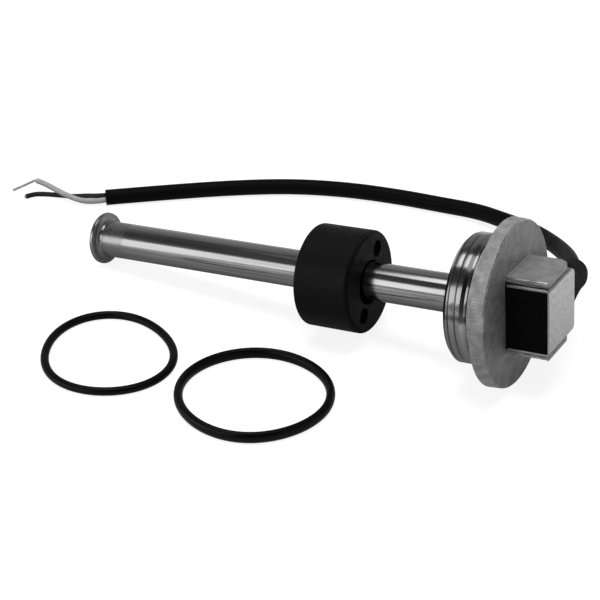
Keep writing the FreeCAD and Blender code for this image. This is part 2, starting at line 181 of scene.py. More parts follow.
# %% Cores
white_radius = 1.06 * mm
black_radius = 0.95 * mm
white_route = [
    (-0.17723, 0.03385, 0.00245),
    (-0.17980, 0.03190, 0.00210),
    (-0.18560, 0.02990, 0.00160),
    (-0.19240, 0.02920, 0.00280),
    (-0.19900, 0.03030, 0.00350),
    (-0.20440, 0.03130, 0.00405),
    (-0.20820, 0.03150, 0.00430),
]
black_route = [
    (-0.17827, 0.03519, 0.00355),
    (-0.18060, 0.03360, 0.00340),
    (-0.18590, 0.03290, 0.00250),
    (-0.19150, 0.03200, 0.00120),
    (-0.19740, 0.03070, 0.00095),
    (-0.20300, 0.02880, 0.00095),
    (-0.20680, 0.02670, 0.00095),
    (-0.20810, 0.02380, 0.00095),
]
white_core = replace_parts(swept_cord("white_insulation", white_route, white_radius), "white_core")
black_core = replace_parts(swept_cord("black_insulation", black_route, black_radius), "black_core")

# %% [markdown]
# ## The bare strands
# Stripped flex shows a twist of fine tinned wires. Six wires wound round a seventh make a round bundle, so
# each wire turns about the bundle's middle line as it goes along. That line is a smooth curve with no
# thickness, and Blender gives its points when the curve is turned into a mesh. Carrying a sideways
# direction from point to point keeps the twist even round the bend.

# %% Strands
bundle_radius = 0.5 * mm
wires_round = 6
wire_radius = bundle_radius / 3
wire_section_steps = 3
twist_pitch = 5.0 * mm
white_strand_route = [
    (-0.20820, 0.03150, 0.00430),
    (-0.20900, 0.03154, 0.00435),
    (-0.21030, 0.03060, 0.00370),
    (-0.21300, 0.02860, 0.00220),
    (-0.21650, 0.02640, 0.00050),
]
black_strand_route = [
    (-0.20810, 0.02380, 0.00095),
    (-0.20835, 0.02325, 0.00095),
]


def middle_line(name, route):
    """Points along a route, read from its curve, which is then thrown away."""
    line = smooth_line(name, route)
    points = [vertex.co.copy() for vertex in bpy.data.meshes.new_from_object(line).vertices]
    bpy.data.objects.remove(line)
    return points


def add_wire(curve, line, offset, start_turn):
    """Adds one wire to a curve, wound about a line at an offset, with its first turn given."""
    side = (line[1] - line[0]).orthogonal().normalized()
    travelled = 0.0
    spline = curve.splines.new("POLY")
    spline.points.add(len(line) - 1)
    for index, place in enumerate(line):
        following = line[min(index + 1, len(line) - 1)]
        along = (following - line[max(index - 1, 0)]).normalized()
        side = (side - along * side.dot(along)).normalized()
        turn = 2 * math.pi * (start_turn + travelled / twist_pitch)
        outward = side * math.cos(turn) + along.cross(side) * math.sin(turn)
        spline.points[index].co = (*(place + outward * offset), 1.0)
        spline.points[index].radius = wire_radius
        travelled += (following - place).length


def twisted_strands(name, route):
    """Bundle of fine wires twisted about a route."""
    line = middle_line(name + "_middle", route)
    curve = bpy.data.curves.new(name, "CURVE")
    curve.dimensions = "3D"
    for wire in range(wires_round):
        add_wire(curve, line, 2 * wire_radius, wire / wires_round)
    add_wire(curve, line, 0.0, 0.0)
    bundle = bpy.data.objects.new(name, curve)
    bpy.context.scene.collection.objects.link(bundle)
    make_round(bundle, wire_section_steps)
    print(name, "wires:", len(curve.splines), "points in each:", len(line))
    return bundle


white_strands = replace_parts(twisted_strands("white_bare_strands", white_strand_route), "white_core_strands")
black_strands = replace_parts(twisted_strands("black_bare_strands", black_strand_route), "black_core_strands")

# %% [markdown]
# ## The thread
# The solid's spigot is a plain cylinder, but the real one has a shallow thread: wide, nearly flat crests
# with a narrow V notch between them. A Screw modifier could sweep one tooth, but its two ends would need
# cutting off. Here a grid of points is wrapped round the stem and climbs one pitch in each turn, so that its
# rows run along the crests and notches, and each point's radius is read from how far it is from a notch.

# %% Thread
thread_radius = 20.955 * mm
thread_pitch = 2.309 * mm
thread_depth = 0.55 * mm
thread_phase = 0.3988
notch_share = 1 / 4
crest_round = 0.05 * mm
spigot_length = 11.6 * mm
lead_chamfer = 1.3 * mm
thread_top = -5.75 * mm
turn_steps = 288
rows_per_turn = 24
row_count = math.ceil((spigot_length + thread_top) / thread_pitch * rows_per_turn) + rows_per_turn


def grid_height(row, step):
    """Height of a grid point that climbs one pitch in each turn, held between the thread's ends."""
    climb = (row / rows_per_turn + step / turn_steps - 1) * thread_pitch
    return min(max(climb - spigot_length, -spigot_length), thread_top)


def thread_profile(turn, height):
    """Radius of the notched thread with its lead chamfer, at a share of a turn and a height from the seat."""
    from_notch = abs((height / thread_pitch - turn + thread_phase) % 1 - 0.5)
    notch = max(0.0, 1 - 2 * from_notch / notch_share)
    crest = thread_radius - thread_depth * notch - crest_round * (1 - 2 * from_notch) ** 2
    return min(crest, thread_radius - lead_chamfer + (height + spigot_length))


print("thread rows:", row_count, "steps in a turn:", turn_steps)

# %% [markdown]
# ## Rings and bands
# Anything turned on a lathe is a stack of rings, with a band of faces from each ring to the next. A Spin or
# Screw modifier makes such a stack from an outline, but the thread's rows also climb as they go round, and
# one helper that asks for a radius and a height at each step makes both kinds of ring. The climbing rows
# are closed by faces across their seam, where one turn's end meets the next turn's start.

# %% Rings
def add_ring(mesh, radius_at, height_at):
    """Adds a ring of points whose radius and height may change round the stem."""
    ring = []
    for step in range(turn_steps):
        turn = step / turn_steps
        height = height_at(step)
        radius = radius_at(turn, height)
        angle = 2 * math.pi * turn
        place = Vector((radius * math.cos(angle), radius * math.sin(angle), height))
        ring.append(mesh.verts.new(stem_frame @ place))
    return ring


def level_ring(mesh, radius, height):
    """Adds a ring of one radius at one height."""
    return add_ring(mesh, lambda turn, at_height: radius, lambda step: height)


def climbing_ring(mesh, row):
    """Adds a ring that climbs one pitch and follows the thread's profile."""
    return add_ring(mesh, thread_profile, lambda step: grid_height(row, step))


def band(mesh, upper, lower):
    """Adds the faces between two rings."""
    faces = []
    for step in range(turn_steps):
        after = (step + 1) % turn_steps
        faces.append(mesh.faces.new((upper[step], lower[step], lower[after], upper[after])))
    return faces


def climbing_faces(mesh, rows):
    """Adds the faces between the climbing rows, and across the seam to the rows one turn further up."""
    faces = []
    for row, (lower, upper) in enumerate(zip(rows, rows[1:])):
        for step in range(turn_steps - 1):
            faces.append(mesh.faces.new((upper[step], lower[step], lower[step + 1], upper[step + 1])))
        next_lower = min(row + rows_per_turn, row_count)
        next_upper = min(row + 1 + rows_per_turn, row_count)
        if next_lower < next_upper:
            faces.append(mesh.faces.new((upper[-1], lower[-1], rows[next_lower][0], rows[next_upper][0])))
    return faces


print("points in a ring:", turn_steps)

# %% [markdown]
# ## The spigot
# Between the flange and the first full thread the lathe's tool needs room, so there is a short hub, an
# undercut, a narrow last tooth and a cone where the thread runs out. These are level rings, listed from the
# flange down. Every face of the head gets a number for its finish, and the hub takes the rim's. Points that
# lie in one place are welded, and edges that turn sharply are shaded as corners.

# %% Spigot
cast_face, machined_face, ground_face, rim_face, lug_face, burr_and_highlight_face = range(6)
weld_limit = 0.0001 * mm
corner_limit = math.radians(50)
tube_radius = 6.35 * mm
hub_end = -3.25 * mm
hub_radius = thread_radius - 0.1 * mm
undercut_radius = thread_radius - 0.5 * mm
last_tooth_top = -3.65 * mm
last_tooth_foot = -4.3 * mm
last_tooth_shoulder = 0.06 * mm
run_out_radius = thread_radius - 0.56 * mm
spigot_outline = [
    (hub_radius, 0.0),
    (hub_radius, hub_end),
    (undercut_radius, hub_end),
    (undercut_radius, last_tooth_top),
    (thread_radius - last_tooth_shoulder, last_tooth_top),
    (thread_radius, (last_tooth_top + last_tooth_foot) / 2),
    (thread_radius, last_tooth_foot),
    (run_out_radius, last_tooth_foot - last_tooth_shoulder),
    (thread_radius, thread_top),
]


def points_of(faces):
    """Points of some faces, each once, in an order that is the same in each run, as a set's isn't."""
    return list(dict.fromkeys(point for face in faces for point in face.verts))


def mark_corners(edges):
    """Shades edges as corners where their faces meet at more than the corner limit."""
    for edge in edges:
        edge.smooth = edge.calc_face_angle(0.0) < corner_limit


def add_spigot(mesh):
    """Adds the hub, undercut, last tooth, run-out, thread and flat end to a mesh that is being edited."""
    plain = [level_ring(mesh, radius, height) for radius, height in spigot_outline]
    end = level_ring(mesh, tube_radius, -spigot_length)
    rows = [climbing_ring(mesh, row) for row in range(row_count + 1)]
    hub = band(mesh, plain[0], plain[1])
    cut = []
    for upper, lower in list(zip(plain[1:], plain[2:])) + [(plain[-1], rows[-1]), (rows[0], end)]:
        cut += band(mesh, upper, lower)
    cut += climbing_faces(mesh, rows)
    for face in hub + cut:
        face.material_index = machined_face
        face.smooth = True
    for face in hub:
        face.material_index = rim_face
    points = points_of(hub + cut)
    bmesh.ops.remove_doubles(mesh, verts=points, dist=weld_limit)
    mark_corners({edge for point in points if point.is_valid for edge in point.link_edges})


print("level rings of the spigot:", len(spigot_outline))

# %% [markdown]
# ## The lugs
# Two lugs hold the cover, and their near ends were ground by hand, which leaves a bright, uneven burr along
# the outer edge. In the solids the lugs are a little thick, so the points of their inner sides are moved
# outward. The solids' faces don't share points, so the points are welded first: a bevel needs edges with a
# face on each side. It gives the outer edges faces of their own, which take the burr's finish: bright steel
# that also paints a highlight along the edge.

# %% Lugs
box_middle = 0.35 * mm
lug_middle = 11.7 * mm
lug_thinning = 1.0 * mm
lug_edge_round = 0.6 * mm
lug_edge_steps = 4


def across_box(point):
    """How far a point is from the middle of the cover's box, across the lugs."""
    return (to_stem @ point.co).x - box_middle


def near_outer(edge):
    """Whether an edge lies between a lug's ground end and its outer side."""
    kinds = sorted(face.material_index for face in edge.link_faces)
    outside = all(abs(across_box(point)) > lug_middle for point in edge.verts)
    return kinds == [ground_face, lug_face] and outside


def dress_lugs(mesh):
    """Moves the lugs' inner faces outward and rounds the outer edges of their near ends."""
    lug_faces = [face for face in mesh.faces if face.material_index in (ground_face, lug_face)]
    bmesh.ops.remove_doubles(mesh, verts=points_of(lug_faces), dist=weld_limit)
    for point in points_of(lug_faces):
        if abs(across_box(point)) < lug_middle:
            outward = Vector((math.copysign(lug_thinning, across_box(point)), 0.0, 0.0))
            point.co = stem_frame @ (to_stem @ point.co + outward)
    near_edges = [edge for edge in mesh.edges if near_outer(edge)]
    # The new faces take the burr's bright steel, which paints a highlight along the edge.
    bmesh.ops.bevel(mesh, geom=near_edges, offset=lug_edge_round, segments=lug_edge_steps, profile=0.5,
                    affect="EDGES", material=burr_and_highlight_face)
    dressed = [face for face in mesh.faces if face.material_index in (ground_face, lug_face, burr_and_highlight_face)]
    mark_corners({edge for face in dressed for edge in face.edges})
    print("near edges rounded:", len(near_edges))


print("lugs thinner by mm:", lug_thinning / mm)

# %% [markdown]
# ## The head
# The head is cast in one piece and then worked in places, so its faces are sorted by where they are and which
# way they face: the flange's rim, the part of its front edge that faces up, the lugs and their ground ends.
# The upward part of the front edge takes the burr's bright steel, a painted highlight where light falls on
# it. What is left is bare casting. The plain spigot's faces are taken away, and the cut spigot takes their
# place. At the end points and faces are sorted by where they are, because Blender fills the gaps that deleted
# faces leave in no fixed order, and each run is to give the same mesh.

# %% Head
seat_margin = 0.02 * mm
bore_margin = 0.7 * mm
flange_face = 4.75 * mm
rim_start = 26.3 * mm
edge_start = 0.15
edge_end = 0.9
edge_upward = 0.35
ground_limit = 0.9


def kind_of(face):
    """Number of the finish that a face of the solid takes, or None on the plain spigot."""
    centre = to_stem @ face.calc_center_median()
    normal = to_stem.to_3x3() @ face.normal
    reach = math.hypot(centre.x, centre.y)
    if centre.z < -seat_margin and reach > tube_radius + bore_margin:
        return None
    if reach > rim_start:
        # Faces of the rim's front edge that face up take the burr's bright steel: a painted highlight where
        # light falls.
        painted_highlight_edge = edge_start < normal.z < edge_end and face.normal.z > edge_upward
        return burr_and_highlight_face if painted_highlight_edge else rim_face
    if centre.z > flange_face + seat_margin:
        return ground_face if -normal.y > ground_limit else lug_face
    return cast_face


def sort_by_place(elements, place_of):
    """Numbers points or faces by where they are, and puts them in the order of their numbers."""
    for number, element in enumerate(sorted(elements, key=lambda element: tuple(place_of(element)))):
        element.index = number
    elements.sort()


head = bpy.data.objects.new("threaded_head", nodes["head_plug"].data.copy())
head.data.materials.clear()
bpy.context.scene.collection.objects.link(head)
head_mesh = bmesh.new()
head_mesh.from_mesh(head.data)
plain_spigot = []
for face in head_mesh.faces:
    kind = kind_of(face)
    if kind is None:
        plain_spigot.append(face)
    else:
        face.material_index = kind
bmesh.ops.delete(head_mesh, geom=plain_spigot, context="FACES")
dress_lugs(head_mesh)
add_spigot(head_mesh)
cut_faces = [face for face in head_mesh.faces if face.material_index == machined_face]
bmesh.ops.recalc_face_normals(head_mesh, faces=cut_faces)
sort_by_place(head_mesh.verts, lambda point: point.co)
sort_by_place(head_mesh.faces, lambda face: face.calc_center_median())
head_mesh.to_mesh(head.data)
head_mesh.free()
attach(head, "sender")
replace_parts(head, "head_plug")
print("plain faces taken away:", len(plain_spigot), "faces now:", len(head.data.polygons))

# %% [markdown]
# ## The cover and its filling
# The cover is a thin sheet folded into a U, and compound fills it flush. In the solids the sheet is a
# little thick and stands a little close, so both pieces are copied and their points are moved outward.
# Those on the sheet's inner side move further than those on its outer side, which thins it. The middle,
# where the wires pass, stays as it is.

# %% Cover
sheet_middle = 9.8 * mm
end_middle = 18.5 * mm
wire_room = 6.0 * mm
end_zone = 17.0 * mm
outer_spread = 0.75 * mm
inner_spread = 1.05 * mm
outer_rise = 0.2 * mm
inner_rise = 0.65 * mm


def widened(name, node_name):
    """Copy of a solid with its points moved away from the box's middle and up at its end."""
    piece = bpy.data.objects.new(name, nodes[node_name].data.copy())
    piece.data.materials.clear()
    for point in piece.data.vertices:
        place = to_stem @ point.co
        across = place.x - box_middle
        outer = abs(across) > sheet_middle or place.z > end_middle
        if abs(across) > wire_room:
            place.x += math.copysign(outer_spread if outer else inner_spread, across)
        if place.z > end_zone:
            place.z += outer_rise if outer else inner_rise
        point.co = stem_frame @ place
    bpy.context.scene.collection.objects.link(piece)
    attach(piece, "sender")
    print(name, "points:", len(piece.data.vertices))
    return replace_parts(piece, node_name)


cover = widened("thin_cover", "cover_plate")
potting = widened("wide_potting", "potting_block")

# %% [markdown]
# ## How a finish is made
# Every finish starts from one Principled shader with its colour and roughness set on the shader itself.
# These helpers make the nodes that all finishes share: a node with its inputs set, a link, a number that is
# worked out from others, and a number that runs between two values.

# %% Helpers for nodes
def grey(value):
    """A grey with the same value in each channel."""
    return (value, value, value)


def node(material, kind, **inputs):
    """New shader node with its inputs set by name."""
    made = material.node_tree.nodes.new(kind)
    for name, value in inputs.items():
        made.inputs[name.replace("_", " ")].default_value = value
    return made


def join(material, source, target):
    """Links an output to an input."""
    material.node_tree.links.new(source, target)


def worked(material, operation, *values):
    """Output of a maths node whose inputs are numbers or other outputs."""
    made = node(material, "ShaderNodeMath")
    made.operation = operation
    for socket, value in zip(made.inputs, values):
        if isinstance(value, bpy.types.NodeSocket):
            join(material, value, socket)
        else:
            socket.default_value = value
    return made.outputs["Value"]


def graded(material, value, start, full, low=0.0, high=1.0):
    """Number that runs from low to high while a value runs from start to full."""
    made = node(material, "ShaderNodeMapRange", From_Min=start, From_Max=full, To_Min=low, To_Max=high)
    join(material, value, made.inputs["Value"])
    return made.outputs["Result"]


def tone_ramp(material, value, tones):
    """Colour that runs through greys, from pairs of a place and a tone."""
    made = node(material, "ShaderNodeValToRGB")
    for place, tone in tones[1:-1]:
        made.color_ramp.elements.new(place)
    for stop, (place, tone) in zip(made.color_ramp.elements, tones):
        stop.position = place
        stop.color = (*grey(tone), 1.0)
    join(material, value, made.inputs["Fac"])
    return made.outputs["Color"]


print("node helpers:", [helper.__name__ for helper in (grey, node, join, worked, graded, tone_ramp)])

# %% [markdown]
# ## Detail on a finish
# Detail comes from noise in three ways: it nudges the roughness, so that reflections break up as on a real
# surface, it moves the colour between two tones, and it drives a bump, so that grain catches the light.
# Coordinates come from the piece's own mesh, turned to the stem and stretched where a finish runs along it
# or round it.

# %% Helpers for finishes
noise_low = 0.3
noise_high = 0.7


def shader_of(material):
    """The material's Principled shader."""
    return material.node_tree.nodes["Principled BSDF"]


def finish(name, colour, roughness, metallic=0.0):
    """New material with plain values on its shader."""
    material = bpy.data.materials.new(name)
    material.use_nodes = True
    shader = shader_of(material)
    shader.inputs["Base Color"].default_value = (*colour, 1.0)
    shader.inputs["Roughness"].default_value = roughness
    shader.inputs["Metallic"].default_value = metallic
    return material


def along_stem(material, stretch=(1.0, 1.0, 1.0)):
    """Coordinates with z along the stem, scaled by a stretch."""
    place = node(material, "ShaderNodeTexCoord")
    turned = node(material, "ShaderNodeMapping", Location=seat_centre, Rotation=stem_frame.to_euler())
    turned.vector_type = "TEXTURE"
    scaled = node(material, "ShaderNodeMapping", Scale=stretch)
    join(material, place.outputs["Object"], turned.inputs["Vector"])
    join(material, turned.outputs["Vector"], scaled.inputs["Vector"])
    return scaled.outputs["Vector"]


def noise(material, coordinates, grain, detail=4.0):
    """Noise with a grain in metres."""
    made = node(material, "ShaderNodeTexNoise", Scale=1.0 / grain, Detail=detail)
    join(material, coordinates, made.inputs["Vector"])
    return made.outputs["Fac"]


def vary_roughness(material, pattern, low, high):
    """Lets a pattern move the roughness between two values."""
    roughness = graded(material, pattern, noise_low, noise_high, low, high)
    join(material, roughness, shader_of(material).inputs["Roughness"])


def vary_colour(material, pattern, dark, light):
    """Lets a pattern move the colour between two greys."""
    colour = tone_ramp(material, pattern, [(noise_low, dark), (noise_high, light)])
    join(material, colour, shader_of(material).inputs["Base Color"])


def relief(material, pattern, height):
    """Bumps the surface by a pattern, with a height in metres, on top of any earlier relief."""
    bump = node(material, "ShaderNodeBump", Strength=1.0, Distance=height)
    normal = shader_of(material).inputs["Normal"]
    if normal.is_linked:
        join(material, normal.links[0].from_socket, bump.inputs["Normal"])
    join(material, pattern, bump.inputs["Height"])
    join(material, bump.outputs["Normal"], normal)


print("ways to vary a finish:", [way.__name__ for way in (vary_roughness, vary_colour, relief)])

# %% [markdown]
# ## Cast steel
# The casting was blasted with grit, so it is rough, mottled and only half mirror-like, and one function
# makes it. The rim was turned once and then blasted, so it is paler and keeps fine lines that run along the
# stem, from a second noise that is stretched that way. The lugs are smoother.

# %% Cast steel
def blasted(name, dark, light, grain):
    """Rough cast steel between two greys, mottled and speckled."""
    material = finish(name, grey(light), 0.45, metallic=0.4)
    place = along_stem(material)
    vary_roughness(material, noise(material, place, 2.5 * mm), 0.38, 0.52)
    vary_colour(material, noise(material, place, 3.0 * mm, detail=9.0), dark, light)
    relief(material, noise(material, place, 0.7 * mm), grain)
    return material


blasted_steel = blasted("blasted_steel", 0.27, 0.46, 0.34 * mm)
rim_steel = blasted("rim_steel", 0.40, 0.72, 0.30 * mm)
rim_lines = along_stem(rim_steel, (1.0, 1.0, 0.05))
relief(rim_steel, noise(rim_steel, rim_lines, 0.5 * mm), 0.36 * mm)
lug_steel = blasted("lug_steel", 0.38, 0.54, 0.12 * mm)
print("cast finishes:", blasted_steel.name, rim_steel.name, lug_steel.name)

# %% [markdown]
# ## Bright steel
# The same steel shines where it was worked further. Turned faces, on the spigot and the end stop, have lines
# that go round, so their noise is squeezed along the stem. The tube was polished along its length, so its
# noise is drawn out that way. The lugs' ends were ground in streaks along the stem. The burr beside them and
# the upward part of the flange's front edge get the brightest steel, up to white: a real bright edge with a
# painted highlight on top. The cover's sheet has the fine mottle of rolled steel.

# %% Bright steel
machined_steel = finish("machined_steel", grey(0.46), 0.2, metallic=1.0)
machined_place = along_stem(machined_steel, (1.0, 1.0, 30.0))
vary_roughness(machined_steel, noise(machined_steel, machined_place, 4.0 * mm), 0.13, 0.20)
relief(machined_steel, noise(machined_steel, machined_place, 3.0 * mm), 0.0005 * mm)

turned_steel = finish("turned_steel", grey(0.50), 0.2, metallic=1.0)
turned_place = along_stem(turned_steel, (1.0, 1.0, 40.0))
vary_roughness(turned_steel, noise(turned_steel, turned_place, 6.0 * mm), 0.2, 0.34)
relief(turned_steel, noise(turned_steel, turned_place, 5.0 * mm), 0.003 * mm)

polished_steel = finish("polished_steel", grey(0.60), 0.14, metallic=1.0)
polished_place = along_stem(polished_steel, (1.0, 1.0, 0.02))
vary_roughness(polished_steel, noise(polished_steel, polished_place, 0.5 * mm), 0.11, 0.20)
vary_colour(polished_steel, noise(polished_steel, polished_place, 1.2 * mm), 0.42, 0.72)
relief(polished_steel, noise(polished_steel, polished_place, 0.4 * mm), 0.004 * mm)

ground_steel = finish("ground_steel", grey(0.68), 0.3, metallic=1.0)
ground_place = along_stem(ground_steel, (1.0, 1.0, 0.16))
vary_roughness(ground_steel, noise(ground_steel, ground_place, 1.2 * mm), 0.2, 0.36)
vary_colour(ground_steel, noise(ground_steel, ground_place, 1.0 * mm, detail=2.0), 0.10, 0.85)
relief(ground_steel, noise(ground_steel, ground_place, 1.4 * mm), 0.15 * mm)

# The burr's steel is bright up to white: a real bright edge with a painted highlight on top.
burr_and_highlight_steel = finish("burr_and_highlight_steel", grey(0.8), 0.26, metallic=0.8)
burr_and_highlight_place = along_stem(burr_and_highlight_steel, (0.6, 1.0, 0.3))
vary_colour(burr_and_highlight_steel, noise(burr_and_highlight_steel, burr_and_highlight_place, 0.8 * mm, detail=2.0), 0.22, 1.0)
relief(burr_and_highlight_steel, noise(burr_and_highlight_steel, burr_and_highlight_place, 1.2 * mm), 0.12 * mm)

sheet_steel = finish("sheet_steel", grey(0.64), 0.32, metallic=1.0)
sheet_place = along_stem(sheet_steel, (1.0, 14.0, 14.0))
vary_roughness(sheet_steel, noise(sheet_steel, sheet_place, 3.0 * mm), 0.26, 0.40)
vary_colour(sheet_steel, noise(sheet_steel, along_stem(sheet_steel), 1.6 * mm), 0.50, 0.68)
relief(sheet_steel, noise(sheet_steel, sheet_place, 2.0 * mm), 0.004 * mm)
print("steel finishes:", [m.name for m in bpy.data.materials if m.name.endswith("_steel")])

# %% [markdown]
# ## Rubber, plastic and compound
# Black things are told apart by how they shine. Potting compound is dead matt, the float is a fine matt
# moulding, the boot is dull rubber, the seal rings are satin rubber, and the jacket has the soft gloss of
# vinyl. They differ only in a few values, so one function makes them all. Small bumps keep each of them
# from looking like paint.

# %% Black finishes
def black(name, tone, sheen, smoothest, roughest, patch, grain, bump):
    """Black finish with a sheen, a roughness that varies in patches, and a grain that stands up by a bump."""
    material = finish(name, grey(tone), (smoothest + roughest) / 2)
    shader_of(material).inputs["Specular IOR Level"].default_value = sheen
    place = along_stem(material)
    vary_roughness(material, noise(material, place, patch), smoothest, roughest)
    relief(material, noise(material, place, grain), bump)
    print(name, "roughness:", smoothest, "to", roughest)
    return material


float_plastic = black("float_plastic", tone=0.007, sheen=0.17, smoothest=0.44, roughest=0.58,
                      patch=3.0 * mm, grain=0.3 * mm, bump=0.012 * mm)
potting_compound = black("potting_compound", tone=0.003, sheen=0.15, smoothest=0.7, roughest=0.9,
                         patch=4.0 * mm, grain=2.5 * mm, bump=0.06 * mm)
boot_rubber = black("boot_rubber", tone=0.006, sheen=0.07, smoothest=0.58, roughest=0.72,
                    patch=3.0 * mm, grain=0.5 * mm, bump=0.015 * mm)
jacket_vinyl = black("jacket_vinyl", tone=0.005, sheen=0.10, smoothest=0.40, roughest=0.54,
                     patch=5.0 * mm, grain=1.2 * mm, bump=0.02 * mm)
seal_rubber = black("seal_rubber", tone=0.003, sheen=0.22, smoothest=0.26, roughest=0.38,
                    patch=2.0 * mm, grain=0.4 * mm, bump=0.008 * mm)

# %% [markdown]
# ## Cores and wires
# The cores' insulation is plain vinyl, with a little unevenness in its gloss. The white one is not quite
# white, or it would be lost on the table. Tinned wire is bright but soft, because tin is dull beside steel.

# %% Wire finishes
black_vinyl = finish("black_vinyl", grey(0.016), 0.35)
vary_roughness(black_vinyl, noise(black_vinyl, along_stem(black_vinyl), 2.0 * mm), 0.3, 0.42)

white_vinyl = finish("white_vinyl", grey(0.62), 0.4)
white_place = along_stem(white_vinyl)
vary_roughness(white_vinyl, noise(white_vinyl, white_place, 2.0 * mm), 0.34, 0.48)
vary_colour(white_vinyl, noise(white_vinyl, white_place, 4.0 * mm), 0.56, 0.64)

tinned_wire = finish("tinned_wire", (0.82, 0.81, 0.78), 0.28, metallic=0.6)
vary_roughness(tinned_wire, noise(tinned_wire, along_stem(tinned_wire), 0.6 * mm), 0.2, 0.4)
print("wire finishes:", black_vinyl.name, white_vinyl.name, tinned_wire.name)

# %% [markdown]
# ## Inside the tube
# The switch string can't be seen while the tube is closed, but a cut-away needs it. Board, glass, ceramic
# and ferrite get plain finishes with a little grain.

# %% Inner finishes
board_epoxy = finish("board_epoxy", (0.03, 0.14, 0.06), 0.4)
vary_roughness(board_epoxy, noise(board_epoxy, along_stem(board_epoxy), 0.8 * mm), 0.32, 0.5)

capsule_glass = finish("capsule_glass", (0.80, 0.92, 0.84), 0.05)
shader_of(capsule_glass).inputs["Transmission Weight"].default_value = 1.0
relief(capsule_glass, noise(capsule_glass, along_stem(capsule_glass), 2.0 * mm), 0.01 * mm)

chip_ceramic = finish("chip_ceramic", grey(0.05), 0.5)
vary_roughness(chip_ceramic, noise(chip_ceramic, along_stem(chip_ceramic), 0.4 * mm), 0.4, 0.6)

magnet_ferrite = finish("magnet_ferrite", grey(0.09), 0.6)
vary_colour(magnet_ferrite, noise(magnet_ferrite, along_stem(magnet_ferrite), 0.8 * mm), 0.07, 0.12)
print("inner finishes:", board_epoxy.name, capsule_glass.name, chip_ceramic.name, magnet_ferrite.name)

# %% [markdown]
# ## Putting the finishes on
# Each solid takes one finish. The head takes six, one for each way that its faces were worked, in the order
# of the face numbers that it was given. Pieces that were made here are listed with a slot, a plain name for
# their finish, but the slot isn't given to them.

# %% Assign finishes
finishes = {
    "cable_boot": boot_rubber,
    "stem_tube": polished_steel,
    "end_stop": turned_steel,
    "reed_board": board_epoxy,
    "reed_capsules": capsule_glass,
    "reed_leads": tinned_wire,
    "ladder_resistors": chip_ceramic,
    "lead_wires": black_vinyl,
    "seal_ring_small": seal_rubber,
    "seal_ring_large": seal_rubber,
    "float_body": float_plastic,
    "float_cap": float_plastic,
    "float_magnet": magnet_ferrite,
}
for name, material in finishes.items():
    nodes[name].data.materials.clear()
    nodes[name].data.materials.append(material)

head_finishes = [blasted_steel, machined_steel, ground_steel, rim_steel, lug_steel, burr_and_highlight_steel]
made_pieces = [
    (head, "cast_steel", head_finishes),
    (cover, "cover_sheet", [sheet_steel]),
    (potting, "potting", [potting_compound]),
    (cable, "cable_jacket", [jacket_vinyl]),
    (white_core, "white_jacket", [white_vinyl]),
    (black_core, "black_jacket", [black_vinyl]),
    (white_strands, "tinned_strand", [tinned_wire]),
    (black_strands, "tinned_strand", [tinned_wire]),
]
for piece, slot, materials in made_pieces:
    for material in materials:
        piece.data.materials.append(material)
print("finished pieces:", len(finishes) + len(made_pieces))

# %% [markdown]
# ## The table's top
# The sender lies on a white table that fills the view. A flat square is enough for it.

# %% Table
table_half = 3.0
floor = bpy.data.objects.new("table", bpy.data.meshes.new("table"))
corners = [(-table_half, -table_half, 0), (table_half, -table_half, 0), (table_half, table_half, 0),
           (-table_half, table_half, 0)]
floor.data.from_pydata(corners, [], [(0, 1, 2, 3)])
bpy.context.scene.collection.objects.link(floor)
print("table half width in m:", table_half)

# %% [markdown]
# ## The table in steel
# Steel only looks like steel when it has something to reflect. Here the table is painted with a glow that
# only reflections see: a painted reflection. Close to the object the glow is dark, a painted shade of the
# object on the table. Further out it is paler, and at the table's front a painted shade stands for the dark
# room behind the camera. A reflector or a black card does that in a studio. The brightness that steel sees is
# worked out for each spot of the table, from how far it is from the stem, with a painted glow past the head
# and a painted shade in front of it.

# %% Mirrored tones
# The table's glow for glossy rays is a painted reflection, with painted shade near the stem and in front of
# the head.
mirror_reach = 120 * mm
painted_reflection_tones = [(0.0, 0.09), (0.1, 0.20), (0.4, 0.32), (1.0, 0.55)]
head_glow = 0.30
head_glow_start = 60 * mm
head_glow_full = 110 * mm
front_start = -95 * mm
front_full = -130 * mm
front_painted_shade = -0.88
front_side_start = -40 * mm
front_side_full = 0 * mm


def painted_reflection_tone(material):
    """Brightness of a spot of the table as steel mirrors it: a painted reflection, dark near the stem and in
    front of the head as painted shade, with a painted glow past the head.
    """
    spot = node(material, "ShaderNodeTexCoord")
    parts = node(material, "ShaderNodeSeparateXYZ")
    join(material, spot.outputs["Object"], parts.inputs["Vector"])
    along = parts.outputs["X"]
    beyond = worked(material, "SUBTRACT", parts.outputs["Y"], seat_centre.y)
    away = graded(material, worked(material, "ABSOLUTE", beyond), 0.0, mirror_reach)
    past_head = graded(material, along, head_glow_start, head_glow_full, 0.0, head_glow)
    tone = worked(material, "ADD", tone_ramp(material, away, painted_reflection_tones), past_head)
    front = graded(material, beyond, front_start, front_full, 0.0, front_painted_shade)
    side = graded(material, along, front_side_start, front_side_full)
    return worked(material, "MULTIPLY", tone, worked(material, "MULTIPLY_ADD", front, side, 1.0))


print("mirrored tones:", painted_reflection_tones)

# %% [markdown]
# ## The table's paint
# A Light Path node tells a material what kind of ray has met it. Camera rays, and rays through glass, see
# paint with a glow that makes the table white and still keeps a faint shadow. Glossy rays see the painted
# reflection tones, a glow that only steel shows. All other rays see the paint alone, so that the glow puts no
# light on the object.

# %% Table's paint
table_glow = 0.86
table_paint = 0.42


def seen_straight(material):
    """One for rays that come from the camera or through glass, and nothing for all others."""
    ray = node(material, "ShaderNodeLightPath")
    return worked(material, "ADD", ray.outputs["Is Camera Ray"], ray.outputs["Is Transmission Ray"])


